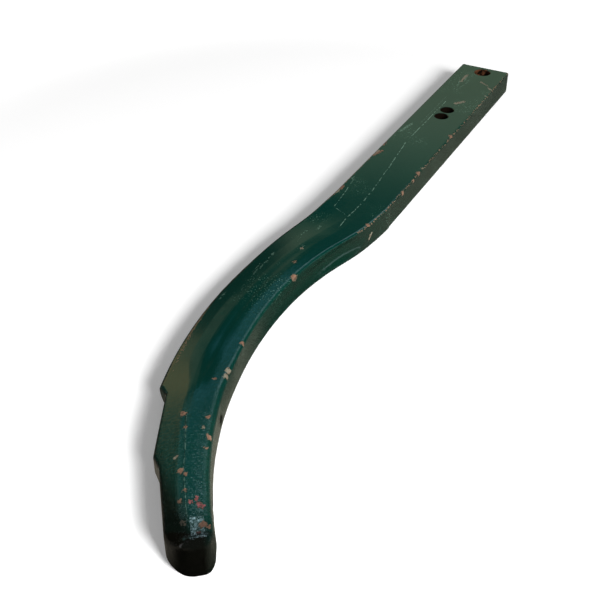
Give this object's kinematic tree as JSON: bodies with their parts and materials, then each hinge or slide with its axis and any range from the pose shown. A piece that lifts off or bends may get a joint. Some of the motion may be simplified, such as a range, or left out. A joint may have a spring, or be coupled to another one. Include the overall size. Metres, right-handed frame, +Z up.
{
  "type": "cultivator spring tine",
  "caption": "Forged cultivator tine: flat bar with pivot and shear bolt holes, curving into a foot stepped at the rear for a bolt-on share.",
  "frame": {"origin": "centre of the pivot hole, on the mid plane of the bar", "axes": "+X along the straight bar towards the tip, +Y to the front of the tine, which is the hollow side of its curve, +Z up out of the bar's wide side, along the pivot hole"},
  "size_m": [0.9351, 0.1697, 0.0396],
  "materials": {
    "worn_green_paint": "glossy dark bluish-green paint over forged steel, chipped to rust and scratched"
  },
  "bodies": {
    "root": {"tine": "worn_green_paint"}
  },
  "joints": []
}
